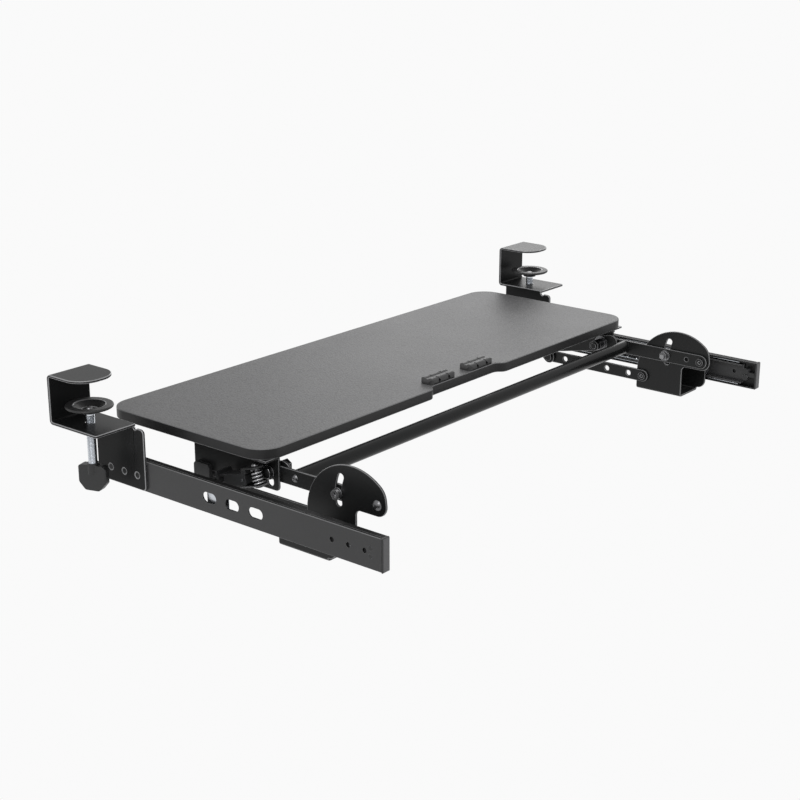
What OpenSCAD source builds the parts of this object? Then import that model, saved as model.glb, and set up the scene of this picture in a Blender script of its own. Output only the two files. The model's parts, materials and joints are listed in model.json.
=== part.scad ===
// Sliding keyboard tray that clamps to the front edge of a desk.
// +X is the sitter's right, +Y runs back under the desk, +Z is up.
// The origin is on the middle plane, at the front edge of the desk, level with
// the desk's top surface, where the two upper jaws rest.
// Sizes are in millimetres. The right side is modelled and the left is its mirror image.

/* [Tray board] */
// Width of the board
tray_w = 700; // [680:1:704]
// Depth of the board, front to back
tray_d = 245; // [235:1:250]
// Thickness of the board
tray_t = 12; // [9:0.5:14]
// How far the board's front edge stands in front of the desk
tray_out = 12; // [0:1:30]
// Top of the board below the desk's top surface
tray_drop = 55; // [54:0.5:58]
// Corner radius of the board
tray_r = 28; // [10:1:40]
// Depth of the cable recess in the rear edge
recess_d = 9; // [5:0.5:12]
// Half width of the recess at its mouth
recess_half = 75.5; // [60:0.5:90]

/* [Clamps] */
// Distance from the middle plane to the inner face of each clamp
clamp_x = 380; // [375:0.5:390]
// Width of the clamp strip
clamp_w = 55; // [45:1:60]
// Thickness of the clamp strip
clamp_t = 3; // [2.5:0.1:4]
// Clear height between the upper jaw and the lower plate
throat_h = 50; // [40:1:52]
// Reach of the upper jaw over the desk
jaw_l = 53; // [45:1:65]
// Reach of the lower plate under the desk
plate_l = 73; // [66:1:80]
// Rear end of the hanging plate
hang_y = 87; // [82:1:100]
// Bottom of the hanging plate
hang_z = -124; // [-130:0.5:-122]
// Distance from the spine to the clamp screw
screw_y = 32; // [28:1:36]
// Diameter of the clamp screw
screw_d = 10; // [8:0.5:11]
// Diameter of the swivel pad
pad_d = 52; // [40:1:53]
// Top of the pad below the jaw
pad_gap = 29.5; // [20:0.5:34]
// Width of the paddle knob
knob_w = 35; // [30:1:40]
// Height of the paddle knob
knob_h = 31; // [28:1:36]
// Turn of the knob about the screw
knob_turn = 18; // [0:1:90]

/* [Slides] */
// Height of the slide
slide_h = 35; // [35:0.5:36]
// Thickness of the slide
slide_t = 12.7; // [12.7:0.1:13]
// Front end of the outer member
slide_y = 16; // [12:1:20]
// Length of the outer member
slide_l = 400; // [396:1:404]
// Middle height of the slide
slide_z = -108; // [-108.5:0.5:-107.5]
// Diameter of a bearing ball
ball_d = 3; // [2.6:0.1:3]

/* [Carriages and arms] */
// Overall width of the carriage channel
carriage_w = 45; // [44:0.5:46]
// Front edge of the carriage
carriage_y = 269; // [266:1:272]
// Length of the carriage floor
carriage_l = 67; // [60:1:72]
// Bottom of the carriage
carriage_z = -141; // [-143:0.5:-139]
// Thickness of the carriage and bracket steel
steel_t = 2.5; // [2:0.1:2.5]
// Thickness of the arms and hanger plates
arm_t = 3; // [2.5:0.1:3]
// Distance of the upper arm's rear pivot from the desk edge
pivot_y = 364; // [362:0.5:366]
// Height of the upper arm's pivots
pivot_z = -87; // [-88:0.5:-86]
// Length of each arm between its pivots
arm_l = 148; // [147:0.5:150]
// Forward offset of the lower arm's pivots
lower_dy = -84.5; // [-86:0.5:-83]
// Downward offset of the lower arm's pivots
lower_dz = -34.5; // [-36:0.5:-34]
// Height of the upper arm bar
upper_h = 18; // [16:0.5:18]
// Height of the lower arm bar
lower_h = 16; // [14:0.5:16]
// Radius of the arc slot about the upper pivot
slot_r = 51.4; // [48:0.2:54]
// Highest lift of the arms
lift_up = 20; // [10:1:20]
// Lowest drop of the arms
lift_down = 10; // [5:1:10]
// Diameter of the cross tube
tube_d = 17; // [14:0.5:18]
// Distance from the rear pivot to the cross tube
tube_dy = 114; // [112:0.5:115]

/* [Tilt] */
// Distance of the tilt pivot from the desk edge
tilt_y = 118; // [117:0.5:119]
// Height of the tilt pivot
tilt_z = -107; // [-107.5:0.5:-106.5]
// Largest tilt of the board
tilt_max = 6; // [3:0.5:6]
// Forward lean of the release lever
lever_lean = 15; // [10:1:18]

/* [Hidden] */
$fn = 64;
gap = 0.4;
run_gap = 0.05;
tray_top = -tray_drop;
tray_y0 = -tray_out;
tray_y1 = tray_y0 + tray_d;
tray_bot = tray_top - tray_t;
slide_y1 = slide_y + slide_l;
plate_bot = -throat_h - clamp_t;
slide_in = clamp_x - slide_t;
wall_out = slide_in - steel_t;
cam_x0 = slide_in - carriage_w;
cam_x1 = cam_x0 + steel_t;
arm_x0 = cam_x0 - gap - arm_t;
arm_x1 = arm_x0 + arm_t;
hanger_x0 = arm_x0 - gap - arm_t;
hanger_x1 = hanger_x0 + arm_t;
front_y = pivot_y - arm_l;
low_y = pivot_y + lower_dy;
low_z = pivot_z + lower_dz;
low_front_y = low_y - arm_l;
bolt_y = pivot_y - slot_r;
tube_y = pivot_y - tube_dy;
shank_d = 6;
tilt_d = 8;
screw_x = clamp_x + clamp_w / 2 + 0.5;
pad_top = -pad_gap;
screw_holes_y = [31, 53, 74];
web_slots_y = [182.5, 215.5, 249.5];
web_holes_y = [353, 374, 395];
slot_w = 11.5;
slot_l = 20;
ball_pitch = 13.7;
balls_in_group = 5;
outer_cage_y = [128, 393];
inner_cage_y = [175, 346];
buffer_y = slide_y1 - 13.5;

steel_black = "#1f1f21";
rail_black = "#2b2b2d";
zinc = "#c4c7cb";
chrome = "#d8dade";
plastic = "#18181a";
board = "#2a2a2c";
silicone = "#1b1b1c";

// Puts a right-hand piece on the left
module mirrored() { mirror([1, 0, 0]) children(); }

// Puts a piece on both sides
module both_sides() { children(); mirror([1, 0, 0]) children(); }

// Extrudes a side view, drawn as (y, z), from x0 towards +X
module side_plate(x0, t) {
    translate([x0, 0, 0]) rotate([90, 0, 90]) linear_extrude(t) children();
}

// Extrudes a cross-section, drawn as (x, z), from y0 to y1
module along_y(y0, y1) {
    translate([0, y1, 0]) rotate([90, 0, 0]) linear_extrude(y1 - y0) children();
}

// A cylinder along X from x0 to x1
module rod_x(x0, x1, y, z, d) {
    translate([x0, y, z]) rotate([0, 90, 0]) cylinder(h = x1 - x0, d = d);
}

// A domed head on the +X side of x0
module dome_x(x0, y, z, d, h) {
    sr = (d * d / 4 + h * h) / (2 * h);
    translate([x0, y, z]) rotate([0, 90, 0]) rotate_extrude()
        polygon(concat([[0, 0]], [for (i = [0:8]) let (a = i / 8 * asin(d / 2 / sr))
            [sr * sin(a), h - sr + sr * cos(a)]]));
}

// Rectangle from corner p to corner q with rounded corners
module round_rect(p, q, r) {
    translate([p[0] + r, p[1]]) square([q[0] - p[0] - 2 * r, q[1] - p[1]]);
    translate([p[0], p[1] + r]) square([q[0] - p[0], q[1] - p[1] - 2 * r]);
    for (x = [p[0] + r, q[0] - r], y = [p[1] + r, q[1] - r]) translate([x, y]) circle(r);
}

// Flat bar with round ends of radii ra and rb about a and b
module bar(a, b, ra, rb) {
    d = norm(b - a);
    u = (b - a) / d;
    c = (ra - rb) / d;
    s = sqrt(1 - c * c);
    up = [u[0] * c - u[1] * s, u[1] * c + u[0] * s];
    dn = [u[0] * c + u[1] * s, u[1] * c - u[0] * s];
    translate(a) circle(ra);
    translate(b) circle(rb);
    polygon([a + up * ra, a + dn * ra, b + dn * rb, b + up * rb]);
}

// Arc slot about c from angle a0 to a1, drawn as one closed outline
module arc_slot(c, r, w, a0, a1) {
    start = c + r * [cos(a0), sin(a0)];
    end = c + r * [cos(a1), sin(a1)];
    polygon(concat(arc(c, r + w / 2, a0, a1), arc(end, w / 2, a1, a1 + 180),
        arc(c, r - w / 2, a1, a0), arc(start, w / 2, a0 + 180, a0 + 360)));
}

// Oblong hole centred on c, lying along y
module oblong(c, l, w) {
    translate([c[0] - (l - w) / 2, c[1] - w / 2]) square([l - w, w]);
    for (s = [-1, 1]) translate([c[0] + s * (l - w) / 2, c[1]]) circle(w / 2);
}

// Points of an arc in steps of about six degrees
function arc(c, r, a0, a1) = let (n = max(2, ceil(abs(a1 - a0) / 6)))
    [for (i = [0:n]) let (a = a0 + (a1 - a0) * i / n) c + r * [cos(a), sin(a)]];

// Tray board

module recess_cut() {
    mouth = recess_half;
    run = 18.5;
    r = (run * run + recess_d * recess_d) / (4 * recess_d);
    sweep = asin(run / 2 / r);
    right = concat(arc([mouth, tray_y1 - r], r, 90, 90 + sweep),
                   arc([mouth - run, tray_y1 - recess_d + r], r, sweep - 90, -90));
    left = [for (i = [len(right) - 1:-1:0]) [-right[i][0], right[i][1]]];
    polygon(concat([[mouth, tray_y1 + 1]], right, left, [[-mouth, tray_y1 + 1]]));
}

module tray_board() {
    color(board) translate([0, 0, tray_bot]) linear_extrude(tray_t) difference() {
        round_rect([-tray_w / 2, tray_y0], [tray_w / 2, tray_y1], tray_r);
        recess_cut();
    }
}

// Silicone cable clip with two slit cable holes
clip_l = 48;
clip_x = 37;
clip_y = tray_y1 - recess_d - 0.5;
module cable_clip_right() {
    half = clip_l / 2;
    side = concat([[-0.8, 0]], arc([-5, 2], 5, 0, 130), arc([-15, 2], 5, 50, 180), [[-19.2, 0]]);
    front = concat([[-half, 0]], arc([7 - half, 0.6], 7, 180, 90), arc([half - 7, 0.6], 7, 90, 0),
                   [[half, 0]]);
    color(silicone) translate([clip_x, clip_y, tray_top]) difference() {
        intersection() {
            translate([-half, 0, 0]) rotate([90, 0, 90]) linear_extrude(clip_l) polygon(side);
            linear_extrude(12) round_rect([-half, -20], [half, 0], 8);
            along_y(-21, 1) polygon(front);
        }
        for (x = [-9, 9]) {
            translate([x, 1, 3.2]) rotate([90, 0, 0]) cylinder(h = 22, d = 4);
            translate([x - 0.4, -21, 4]) cube([0.8, 22, 6]);
            translate([x, -21, 5.6]) rotate([0, -45, 0]) cube([3, 22, 3]);
        }
    }
}

// Tray brackets and tilt parts

tilt_r = norm([front_y - tilt_y, pivot_z - tilt_z]);
tilt_a = atan2(pivot_z - tilt_z, front_y - tilt_y);
bracket_y0 = 102.5;
bracket_y1 = 230;
bracket_z = -106;
flange_w = 19;
lever_x = 339.5;
lever_y = 213;
lever_z = -87.5;
lever_pin_y = -15;
lever_pin_z = -2;
lever_half = 8.5;
seat_z = -9.2;
seat_t = 1.6;
spring_reach = 6.9;
tail_z = 8.5;
tail_t = 1.6;

// Places a piece in the lever's own frame
module at_lever() {
    translate([lever_x, lever_y, lever_z]) rotate([lever_lean, 0, 0]) children();
}

module bracket_outline() {
    difference() {
        union() {
            round_rect([bracket_y0, bracket_z], [bracket_y1, bracket_z + 20], 5);
            translate([bracket_y0, bracket_z + 8]) square([bracket_y1 - bracket_y0,
                tray_bot - bracket_z - 8]);
            translate([tilt_y, tilt_z]) circle(9.5);
        }
        arc_slot([tilt_y, tilt_z], tilt_r, tilt_d + 0.6, tilt_a - tilt_max - 0.3, tilt_a + 0.2);
    }
}

module tray_bracket_right() {
    color(steel_black) {
        difference() {
            union() {
                side_plate(cam_x0, steel_t) bracket_outline();
                translate([cam_x0 + 1, bracket_y0, tray_bot - steel_t])
                    cube([flange_w + steel_t - 1, bracket_y1 - bracket_y0, steel_t]);
            }
            for (y = [115, 164, 213]) translate([cam_x1 + 11, y, tray_bot - steel_t - 1])
                cylinder(h = steel_t + 2, d = 4.5);
            rod_x(cam_x0 - 1, cam_x1 + 1, tilt_y, tilt_z, tilt_d);
        }
        // Seat below the spring, bent out of the web in front of the tilt slot
        at_lever() translate([0, 0, seat_z - seat_t]) linear_extrude(seat_t) difference() {
            polygon([[cam_x1 - lever_x - 1, -21], [8, -21], [8, 8], [-spring_reach, 8],
                [-spring_reach, -10], [cam_x1 - lever_x - 1, -10]]);
            circle(d = 5);
        }
    }
}

module bracket_screws() {
    color(zinc) both_sides() for (y = [115, 164, 213]) translate([cam_x1 + 11, y, 0]) {
        translate([0, 0, tray_bot - steel_t - 2.4]) cylinder(h = 2.4, d1 = 6.5, d2 = 8);
        translate([0, 0, tray_bot - steel_t]) cylinder(h = steel_t, d = 4.4);
    }
}

module pivot_cover_right() {
    color(plastic) difference() {
        side_plate(cam_x1, 5.2) round_rect([106, -118.5], [130, -98.5], 4);
        rod_x(cam_x1 - 1, cam_x1 + 2.5, tilt_y, tilt_z, 13);
    }
}

module tilt_pins() {
    color(zinc) both_sides() {
        rod_x(hanger_x0 - 0.3, cam_x1, tilt_y, tilt_z, tilt_d);
        rod_x(hanger_x0 - 2.8, hanger_x0 - 0.3, tilt_y, tilt_z, 13);
        difference() {
            rod_x(hanger_x1 + 0.3, cam_x0, tilt_y, tilt_z, 13);
            rod_x(hanger_x1, cam_x0 + 1, tilt_y, tilt_z, tilt_d);
        }
        rod_x(cam_x1, cam_x1 + 2, tilt_y, tilt_z, 12);
        at_lever() rod_x(cam_x1 - lever_x, lever_half + 0.8, lever_pin_y, lever_pin_z, 3);
    }
}

module release_lever_right() {
    color(plastic) at_lever() difference() {
        union() {
            // Channel body, open below
            side_plate(-lever_half, 2 * lever_half) difference() {
                union() {
                    round_rect([-43, -8], [-10, 4.5], 2);
                    translate([-50, 2.4]) square([12, 2.1]);
                    translate([-14, 4]) square([6, tail_z + tail_t - 4]);
                }
                translate([-40.5, -9]) square([28, 11.4]);
            }
            for (x = [-lever_half, lever_half - 1.8]) side_plate(x, 1.8)
                round_rect([-43, -8], [-10, 4.5], 2);
            // Tail over the spring
            translate([0, -14, tail_z]) linear_extrude(tail_t)
                round_rect([-7, 0], [lever_half, 22], 4);
            // Thumb wing
            translate([-lever_half - 2.5, -52, -4]) cube([2 * lever_half + 5, 3.2, 13]);
        }
        rod_x(-lever_half - 1, lever_half + 1, lever_pin_y, lever_pin_z, 3 + 2 * run_gap);
        translate([0, 0, tail_z - 1]) cylinder(h = tail_t + 2, d = 8);
    }
}

spring_r = 5.7;
spring_wire = 2.3;
spring_turns = 4;
spring_pitch = 3.75;
spring_rings = 8;
spring_sides = 6;

// Centre of the wire at turn t
function spring_point(t) = [spring_r * cos(360 * t), spring_r * sin(360 * t),
    seat_z + spring_wire / 2 + 0.05 + spring_pitch * t];
function spring_ring(t) = let (
        c = spring_point(t),
        out = [cos(360 * t), sin(360 * t), 0],
        run = [-sin(360 * t) * 2 * PI * spring_r, cos(360 * t) * 2 * PI * spring_r, spring_pitch],
        dir = run / norm(run),
        up = cross(dir, out))
    [for (k = [0:spring_sides - 1]) let (a = 360 * k / spring_sides)
        c + spring_wire / 2 * (cos(a) * out + sin(a) * up)];
spring_n = spring_turns * spring_rings;
spring_pts = [for (i = [0:spring_n]) each spring_ring(i / spring_rings)];
spring_gap = min([for (i = [0:spring_n - spring_rings], a = spring_ring(i / spring_rings),
    b = spring_ring(i / spring_rings + 1)) norm(a - b)]);
echo(least_gap_between_spring_turns = spring_gap);

module lever_spring_right() {
    s = spring_sides;
    walls = [for (i = [0:spring_n - 1], k = [0:s - 1]) let (p = i * s + k, q = i * s + (k + 1) % s)
        each [[p, q, q + s], [p, q + s, p + s]]];
    first = [for (k = [1:s - 2]) [0, k + 1, k]];
    last = [for (k = [1:s - 2]) [0, k, k + 1] + spring_n * s * [1, 1, 1]];
    color(chrome) at_lever() polyhedron(spring_pts, concat(walls, first, last), convexity = 6);
}

module spring_pins() {
    color(chrome) both_sides() at_lever() {
        head_z = tail_z + tail_t + 0.4;
        translate([0, 0, seat_z - seat_t]) cylinder(h = head_z - seat_z + seat_t, d = 5);
        translate([0, 0, head_z]) rotate([0, -90, 0]) dome_x(0, 0, 0, 8.5, 4);
        translate([0, 0, seat_z - seat_t - 1.8]) cylinder(h = 1.8, d = 8.5);
    }
}

// Hanger plates, joining the front ends of the arms

module hanger_plate_right() {
    color(steel_black) difference() {
        side_plate(hanger_x0, arm_t) {
            bar([front_y + 14, pivot_z + 3], [tilt_y, tilt_z], 10.5, 10);
            bar([tilt_y, tilt_z], [low_front_y, low_z], 10, 9);
        }
        rod_x(hanger_x0 - 1, hanger_x1 + 1, front_y, pivot_z, tilt_d);
        rod_x(hanger_x0 - 1, hanger_x1 + 1, tilt_y, tilt_z, tilt_d + 2 * run_gap);
        rod_x(hanger_x0 - 1, hanger_x1 + 1, low_front_y, low_z, shank_d);
    }
}

module hanger_rivets() {
    color(zinc) both_sides() {
        rod_x(hanger_x0 - 2.5, hanger_x0, low_front_y, low_z, 11);
        rod_x(hanger_x0, arm_x1 + 0.3, low_front_y, low_z, shank_d);
        rod_x(arm_x1 + 0.3, arm_x1 + 2.3, low_front_y, low_z, 10);
    }
}

// Tilt bolt through hanger, arm and bracket slot
module tilt_bolts() {
    color(zinc) both_sides() {
        rod_x(hanger_x0 - 20, cam_x1 + 5.6, front_y, pivot_z, tilt_d);
        dome_x(cam_x1 + 5.6, front_y, pivot_z, 12.5, 1.6);
    }
}

module hex_x(x0, x1, y, z, af) {
    translate([x0, y, z]) rotate([0, 90, 0]) linear_extrude(x1 - x0)
        circle(d = af / cos(30), $fn = 6);
}

module tilt_nuts() {
    color(zinc) both_sides() difference() {
        union() {
            hex_x(hanger_x0 - 18.5, hanger_x0 - 12, front_y, pivot_z, 13);
            rod_x(cam_x1 + 1.8, cam_x1 + 5.6, front_y, pivot_z, 12.5);
        }
        rod_x(hanger_x0 - 30, cam_x1 + 9, front_y, pivot_z, tilt_d);
    }
}

module tilt_washers() {
    color(chrome) both_sides() difference() {
        union() {
            rod_x(hanger_x0 - 1.5, hanger_x0, front_y, pivot_z, 20);
            rod_x(hanger_x0 - 12, hanger_x0 - 1.5, front_y, pivot_z, 13.5);
            rod_x(cam_x1 + 0.3, cam_x1 + 1.8, front_y, pivot_z, 16);
        }
        rod_x(hanger_x0 - 30, cam_x1 + 9, front_y, pivot_z, tilt_d);
    }
}

// Arms and cross tube

module upper_arm_right() {
    color(steel_black) difference() {
        side_plate(arm_x0, arm_t) bar([front_y, pivot_z], [pivot_y, pivot_z],
            upper_h / 2, upper_h / 2);
        rod_x(arm_x0 - 1, arm_x1 + 1, front_y, pivot_z, tilt_d + 2 * run_gap);
        rod_x(arm_x0 - 1, arm_x1 + 1, pivot_y, pivot_z, shank_d + 2 * run_gap);
        rod_x(arm_x0 - 1, arm_x1 + 1, bolt_y, pivot_z, shank_d);
        rod_x(arm_x0 - 1, arm_x1 + 1, pivot_y - 20, pivot_z, 5.5);
        rod_x(arm_x0 - 1, arm_x1 + 1, tube_y, pivot_z, 5);
    }
}

module cross_tube() {
    color(steel_black) difference() {
        rod_x(-arm_x0, arm_x0, tube_y, pivot_z, tube_d);
        rod_x(-arm_x0 + 6, arm_x0 - 6, tube_y, pivot_z, tube_d - 3);
        for (s = [-1, 1]) rod_x(s * (arm_x0 - 3) - 4, s * (arm_x0 - 3) + 4, tube_y, pivot_z, 5);
    }
}

module tube_screws() {
    color(steel_black) both_sides() {
        rod_x(arm_x0 - 6, arm_x1, tube_y, pivot_z, 5);
        difference() {
            dome_x(arm_x1, tube_y, pivot_z, 9, 2.2);
            hex_x(arm_x1 + 1, arm_x1 + 5, tube_y, pivot_z, 3);
        }
    }
}

module lock_bolts() {
    color(zinc) both_sides() {
        rod_x(arm_x0 - 9, cam_x1 + 1.5, bolt_y, pivot_z, shank_d);
        difference() {
            rod_x(cam_x1 + 1.5, cam_x1 + 5.5, bolt_y, pivot_z, 11);
            hex_x(cam_x1 + 3.5, cam_x1 + 7, bolt_y, pivot_z, 4);
        }
    }
}

module lock_nuts() {
    color(zinc) both_sides() difference() {
        union() {
            rod_x(cam_x1 + 0.3, cam_x1 + 1.5, bolt_y, pivot_z, 13);
            rod_x(arm_x0 - 1.2, arm_x0, bolt_y, pivot_z, 14);
            hex_x(arm_x0 - 6.4, arm_x0 - 1.2, bolt_y, pivot_z, 10);
        }
        rod_x(arm_x0 - 10, cam_x1 + 3, bolt_y, pivot_z, shank_d);
    }
}

lower_holes = [for (i = [0:3]) low_y - 21.7 - 33.7 * i];
module lower_arm_right() {
    color(steel_black) difference() {
        side_plate(arm_x0, arm_t) bar([low_front_y, low_z], [low_y, low_z],
            lower_h / 2, lower_h / 2);
        for (y = [low_front_y, low_y]) rod_x(arm_x0 - 1, arm_x1 + 1, y, low_z,
            shank_d + 2 * run_gap);
        for (y = lower_holes) rod_x(arm_x0 - 1, arm_x1 + 1, y, low_z, 7);
    }
}

// Carriages

cam_r = 61;
cam_c = [carriage_y + cam_r, -114.5];
cam_end = [355, -82.5];
cam_end_r = cam_r - norm(cam_end - cam_c);
lobe_r = 12;

// Inner wall of the carriage, rising as a half disc round the arc slot
module cam_outline() {
    rear = carriage_y + carriage_l;
    pivot = [pivot_y, pivot_z];
    dome_end = atan2(cam_end[1] - cam_c[1], cam_end[0] - cam_c[0]);
    to_lobe = pivot - cam_end;
    lobe_start = atan2(to_lobe[1], to_lobe[0]) + acos((cam_end_r - lobe_r) / norm(to_lobe));
    difference() {
        polygon(concat([[carriage_y, carriage_z + 4]], arc(cam_c, cam_r, 180, dome_end),
            arc(cam_end, cam_end_r, dome_end, lobe_start), arc(pivot, lobe_r, lobe_start, -90),
            arc([rear + 6, pivot_z - lobe_r - 6], 6, 90, 180), [[rear, carriage_z + 4]]));
        arc_slot(pivot, slot_r, shank_d + 1.5, 180 - lift_up - 1, 180 + lift_down + 1);
    }
}

module carriage_outer_wall() {
    rear = carriage_y + carriage_l;
    round_rect([carriage_y, carriage_z + 4], [rear, -96], 4);
    translate([carriage_y, carriage_z + 4]) square([carriage_l, 10]);
    round_rect([carriage_y + 10, carriage_z + 4], [rear + 12, -96], 11);
}

module carriage_right() {
    color(steel_black) difference() {
        union() {
            side_plate(cam_x0, steel_t) cam_outline();
            side_plate(wall_out, steel_t) carriage_outer_wall();
            along_y(carriage_y, carriage_y + carriage_l) difference() {
                round_rect([cam_x0, carriage_z], [slide_in, -120], 4);
                round_rect([cam_x1, carriage_z + steel_t], [wall_out, -110], 1.5);
                translate([cam_x0 - 1, carriage_z + 12]) square([carriage_w + 2, 20]);
            }
        }
        rod_x(cam_x0 - 1, cam_x1 + 1, pivot_y, pivot_z, shank_d);
        rod_x(cam_x0 - 1, cam_x1 + 1, low_y, low_z, shank_d);
        for (y = [290, 322]) rod_x(wall_out - 1, slide_in + 1, y, slide_z, 5);
    }
}

module carriage_screws() {
    color(zinc) both_sides() for (y = [290, 322]) {
        rod_x(wall_out, slide_in + 1.2, y, slide_z, 5);
        rod_x(wall_out - 2, wall_out, y, slide_z, 9);
    }
}

module pivot_rivet(y, z) {
    rod_x(arm_x0 - 0.3, cam_x1, y, z, shank_d);
    difference() {
        rod_x(arm_x0 - 2.5, arm_x0 - 0.3, y, z, 10);
        rod_x(arm_x0 - 3, arm_x0 - 1.9, y, z, 4);
    }
    dome_x(cam_x1, y, z, 11.5, 3);
}

module arm_pivot_rivets() {
    color(zinc) both_sides() pivot_rivet(pivot_y, pivot_z);
}

module lower_pivot_rivets() {
    color(zinc) both_sides() pivot_rivet(low_y, low_z);
}

// Slides. Cross-sections are drawn as (x, z) with u counted inwards from the outer face.

module slide_section() {
    translate([clamp_x, slide_z]) mirror([1, 0]) children();
}

// A member with a web from u0, flanges of reach u1 at height h, and lips of depth lip
module member(u0, web, u1, h, t, lip) {
    translate([u0, -h]) square([web, 2 * h]);
    for (s = [0, 1]) mirror([0, s]) {
        translate([u0, h - t]) square([u1 - u0, t]);
        if (lip > 0) translate([u1 - 0.8, h - t - lip]) square([0.8, t + lip]);
    }
}

outer_h = slide_h / 2;
race = 1;
race_gap = 0.3;
outer_ball_w = outer_h - race - race_gap - ball_d / 2;
middle_h = outer_ball_w - ball_d / 2 - race_gap;
inner_ball_w = middle_h - race - race_gap - ball_d / 2;
inner_h = inner_ball_w - ball_d / 2 - race_gap;
outer_ball_u = 6;
inner_ball_u = 7;

module slots_in_web(u0, u1, grow) {
    for (y = web_slots_y) side_plate(clamp_x - u1, u1 - u0)
        oblong([y, slide_z], slot_l + grow, slot_w + grow / 2);
}

module slide_outer_right() {
    color(rail_black) difference() {
        union() {
            difference() {
                along_y(slide_y, slide_y1) slide_section() member(0, 1.2, 9.8, outer_h, race, 0.9);
                // Rolled edges and the groove beside the ball race
                for (s = [-1, 1]) translate([clamp_x, 0, slide_z + s * outer_h]) {
                    translate([-3.4, slide_y - 1, -0.35]) cube([0.9, slide_l + 2, 0.7]);
                    translate([-0.5, slide_y - 1, -0.5]) cube([1, slide_l + 2, 1]);
                }
            }
            for (s = [-1, 1]) intersection() {
                translate([clamp_x - 1.2, slide_y, slide_z + s * (outer_h - 1.2)])
                    rotate([-90, 0, 0]) cylinder(h = slide_l, r = 1.2);
                translate([clamp_x - 1.2, slide_y, slide_z + s * outer_h - 1.2])
                    cube([1.3, slide_l, 2.4]);
            }
        }
        slots_in_web(-1, 2, 0);
        for (y = web_holes_y) rod_x(clamp_x - 2, clamp_x + 1, y, slide_z, 5.5);
        for (y = screw_holes_y) rod_x(clamp_x - 2, clamp_x + 1, y, slide_z, 4);
        for (s = [-1, 1]) rod_x(clamp_x - 2, clamp_x + 1, buffer_y, slide_z + s * 4.2, 5.2);
    }
}

module slide_middle_right() {
    color(rail_black) difference() {
        along_y(slide_y - 6, slide_y1 - 18) slide_section()
            member(2.8, 1, 10.6, middle_h, race, 0.8);
        slots_in_web(2, 4.5, 5);
        rod_x(clamp_x - 4.5, clamp_x - 2, slide_y1 - 32, slide_z, 5.5);
    }
}

module slide_inner_right() {
    color(rail_black) difference() {
        along_y(carriage_y - 9, slide_y1 - 70) slide_section() {
            translate([slide_t - 1.2, -inner_h]) square([1.2, 2 * inner_h]);
            for (s = [-1, 1]) translate([5.5, s > 0 ? inner_h - race : -inner_h])
                square([slide_t - 5.5, race]);
        }
        for (y = [290, 322]) rod_x(slide_in - 1, slide_in + 2, y, slide_z, 5);
    }
}

// Places of the balls along a retainer: one group near each end
function ball_rows(y) = [for (i = [0:balls_in_group - 1]) each [y[0] + 8 + ball_pitch * i,
    y[1] - 8 - ball_pitch * i]];

// Ball retainer: two strips joined by a bridge at each end
module cage(u0, u1, w, ball_u, y, bridge, inset) {
    t = 0.6;
    difference() {
        union() {
            along_y(y[0], y[1]) slide_section() for (s = [-1, 1])
                translate([u0, s * w - t / 2]) square([u1 - u0, t]);
            for (y0 = [y[0] + inset, y[1] - inset - bridge]) along_y(y0, y0 + bridge) slide_section()
                translate([u0, -w]) square([t, 2 * w]);
        }
        for (by = ball_rows(y), s = [-1, 1])
            translate([clamp_x - ball_u, by, slide_z + s * w - 1]) cylinder(h = 2, d = ball_d + 0.1);
    }
}

module row_of_balls(w, ball_u, y) {
    for (by = ball_rows(y), s = [-1, 1]) translate([clamp_x - ball_u, by, slide_z + s * w])
        sphere(d = ball_d, $fn = 24);
}

module ball_cage_outer_right() {
    color(zinc) cage(1.6, 8.4, outer_ball_w, outer_ball_u, outer_cage_y, 4, 13.8);
}

module ball_cage_inner_right() {
    color(zinc) cage(4.3, 9.4, inner_ball_w, inner_ball_u, inner_cage_y, 32, 0);
}

module balls_outer_right() {
    color(chrome) row_of_balls(outer_ball_w, outer_ball_u, outer_cage_y);
}

module balls_inner_right() {
    color(chrome) row_of_balls(inner_ball_w, inner_ball_u, inner_cage_y);
}

module slide_end_cap_right() {
    color(plastic) {
        intersection() {
            translate([0, 0, slide_z - 20]) linear_extrude(40)
                round_rect([clamp_x - 9.6, slide_y1], [clamp_x + 0.4, slide_y1 + 3.2], 1.4);
            side_plate(clamp_x - 10, 11)
                round_rect([slide_y1 - 4, slide_z - outer_h - 0.4],
                    [slide_y1 + 3.2, slide_z + outer_h + 0.4], 2.4);
        }
        // Buffer that the middle member closes against, pegged through the web
        for (s = [-1, 1]) {
            rod_x(clamp_x - 9.5, clamp_x - 1.2, buffer_y, slide_z + s * 4.2, 8);
            rod_x(clamp_x - 2, clamp_x + 0.2, buffer_y, slide_z + s * 4.2, 5);
        }
        translate([clamp_x - 8, buffer_y, slide_z - 3]) cube([5, slide_y1 - buffer_y + 1, 6]);
    }
}

// Clamps

module slide_screws() {
    color(steel_black) both_sides() for (y = screw_holes_y) {
        rod_x(clamp_x - 1.2, clamp_x + clamp_t - 1.4, y, slide_z, 3.9);
        translate([clamp_x + clamp_t - 1.5, y, slide_z]) rotate([0, 90, 0])
            cylinder(h = 1.4, d1 = 3.9, d2 = 6.6);
    }
}

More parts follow.
